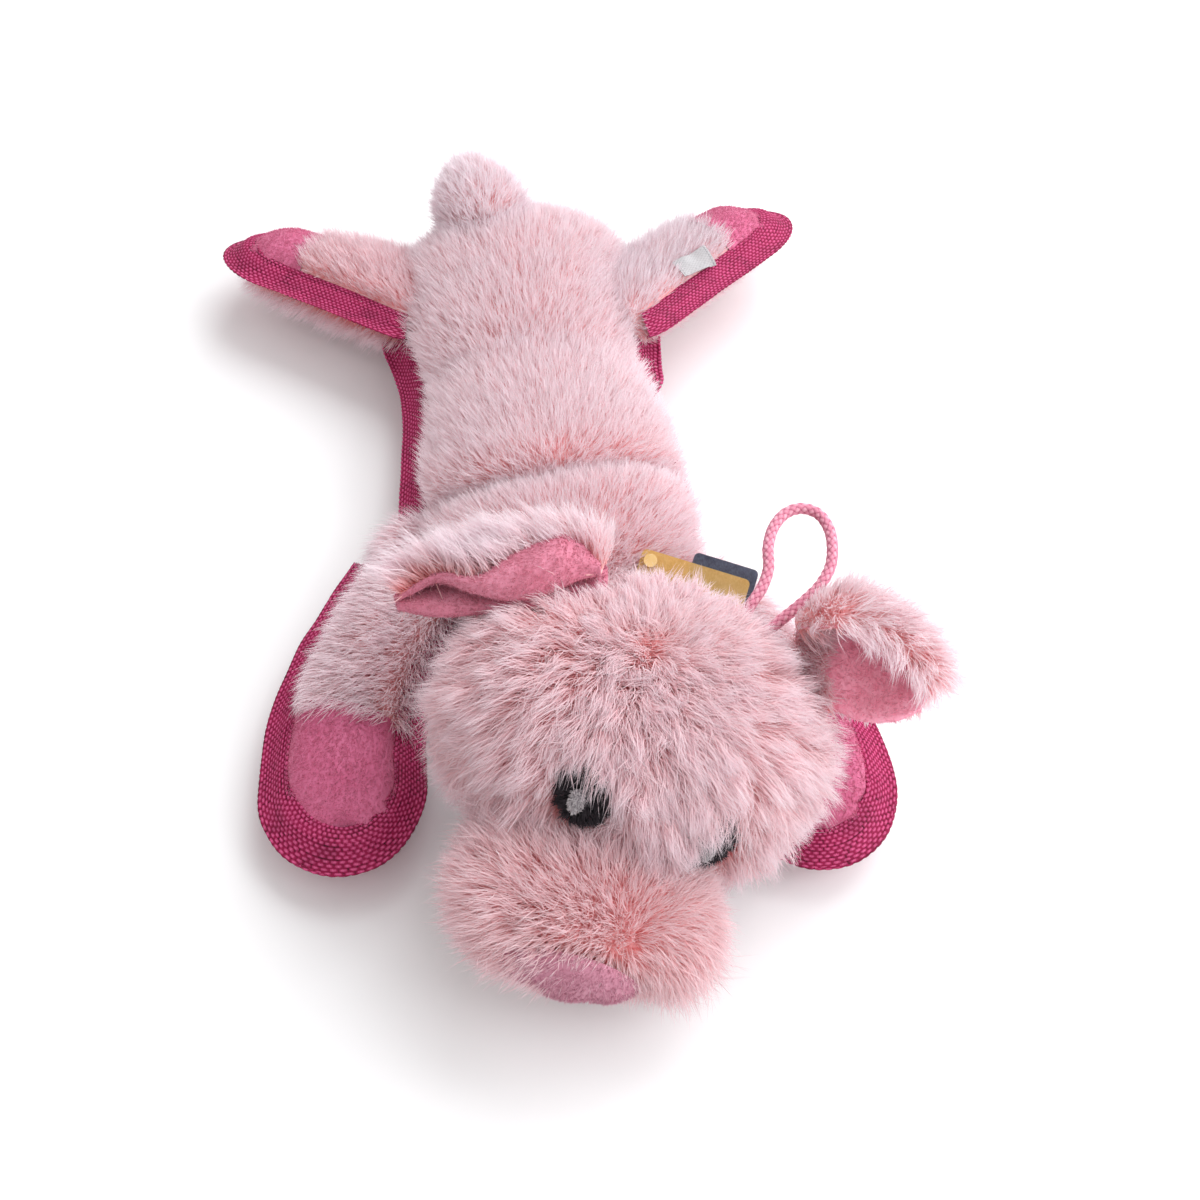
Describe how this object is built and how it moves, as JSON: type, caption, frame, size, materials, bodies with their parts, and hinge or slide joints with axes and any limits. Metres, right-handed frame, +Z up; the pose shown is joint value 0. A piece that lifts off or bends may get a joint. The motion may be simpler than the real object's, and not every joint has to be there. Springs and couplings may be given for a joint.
{
  "type": "dog toy",
  "caption": "Plush pig dog toy lying on its belly, with webbing-bound edges, velour paws, folded ears, a hang loop, and squeakers inside the head and body.",
  "frame": {"origin": "on the floor, under the middle of the belly's flat resting face", "axes": "+Z up from the floor, +Y from the head towards the tail, +X to the right seen from the head end"},
  "size_m": [0.2513, 0.3995, 0.1012],
  "materials": {
    "fur": "long soft pile",
    "velour": "short brushed pile",
    "webbing": "coarse woven tape",
    "lining": "short brushed pile",
    "eye": "short black fibre",
    "glint": "light stitched fibre",
    "fill": "loose fibre",
    "squeaker": "matte moulded",
    "cord": "braided",
    "card": "printed card, blank",
    "leaf": "printed card, blank",
    "label": "white satin tape"
  },
  "bodies": {
    "torso": {"back_panel": "fur", "belly_panel": "fur", "torso_stuffing": "fill", "torso_squeaker_bladder": "squeaker", "torso_squeaker_reed": "squeaker", "flank_webbing_left": "webbing", "flank_webbing_right": "webbing", "tag_pin": "squeaker"},
    "neck": {"neck_sleeve": "fur", "neck_stuffing": "fill"},
    "head": {"crown_gusset": "fur", "head_panel_left": "fur", "head_panel_right": "fur", "head_stuffing": "fill", "head_squeaker_bladder": "squeaker", "head_squeaker_reed": "squeaker", "muzzle_fur": "fur", "muzzle_stuffing": "fill", "nose_pad": "velour", "eye_patch_left": "eye", "eye_glint_left": "glint", "eye_patch_right": "eye", "eye_glint_right": "glint", "hang_loop": "cord"},
    "ear_left": {"ear_fur_left": "fur", "ear_lining_left": "lining"},
    "ear_right": {"ear_fur_right": "fur", "ear_lining_right": "lining"},
    "front_left_leg": {"front_left_leg_upper": "fur", "front_left_paw_pad": "velour", "front_left_leg_under": "fur", "front_left_leg_stuffing": "fill", "front_left_webbing": "webbing"},
    "front_right_leg": {"front_right_leg_upper": "fur", "front_right_paw_pad": "velour", "front_right_leg_under": "fur", "front_right_leg_stuffing": "fill", "front_right_webbing": "webbing"},
    "hind_left_leg": {"hind_left_leg_upper": "fur", "hind_left_paw_pad": "velour", "hind_left_leg_under": "fur", "hind_left_leg_stuffing": "fill", "hind_left_webbing": "webbing"},
    "hind_right_leg": {"hind_right_leg_upper": "fur", "hind_right_paw_pad": "velour", "hind_right_leg_under": "fur", "hind_right_leg_stuffing": "fill", "hind_right_webbing": "webbing", "care_label": "label"},
    "tail": {"tail_fur": "fur", "tail_stuffing": "fill"},
    "tag": {"tag_card": "card", "tag_leaf": "leaf"}
  },
  "joints": [
    {"name": "head_turn", "type": "hinge", "parent": "torso", "child": "neck", "pos_m": [0.006, -0.06, 0.038], "axis": [0, 0, 1], "range_deg": [-18, 18]},
    {"name": "head_nod", "type": "hinge", "parent": "neck", "child": "head", "pos_m": [0.006, -0.06, 0.038], "axis": [-1, 0, 0], "range_deg": [0, 25]},
    {"name": "ear_left_flap", "type": "hinge", "parent": "head", "child": "ear_left", "pos_m": [-0.021, -0.071, 0.08], "axis": [0.4256, 0.856, 0.2934], "range_deg": [-15, 30]},
    {"name": "ear_right_flap", "type": "hinge", "parent": "head", "child": "ear_right", "pos_m": [0.0585, -0.093, 0.0675], "axis": [-0.3582, -0.802, -0.478], "range_deg": [-15, 30]},
    {"name": "front_left_leg_spread", "type": "hinge", "parent": "torso", "child": "front_left_leg", "pos_m": [-0.052, 0.003, 0.0152], "axis": [0, 0, -1], "range_deg": [0, 32]},
    {"name": "front_right_leg_spread", "type": "hinge", "parent": "torso", "child": "front_right_leg", "pos_m": [0.048, -0.038, 0.0152], "axis": [0, 0, 1], "range_deg": [0, 32]},
    {"name": "hind_left_leg_lift", "type": "hinge", "parent": "torso", "child": "hind_left_leg", "pos_m": [-0.042, 0.143, 0.024], "axis": [0.5592, 0.829, 0], "range_deg": [0, 40]},
    {"name": "hind_right_leg_lift", "type": "hinge", "parent": "torso", "child": "hind_right_leg", "pos_m": [0.044, 0.128, 0.024], "axis": [0.5299, -0.848, 0], "range_deg": [0, 40]},
    {"name": "tail_swing", "type": "hinge", "parent": "torso", "child": "tail", "pos_m": [-0.009, 0.168, 0.043], "axis": [1, 0, 0], "range_deg": [-22, 22]},
    {"name": "tag_swing", "type": "hinge", "parent": "torso", "child": "tag", "pos_m": [0.02939, -0.02875, 0.04407], "axis": [-0.1178, -0.4888, 0.8644], "range_deg": [0, 30]}
  ]
}
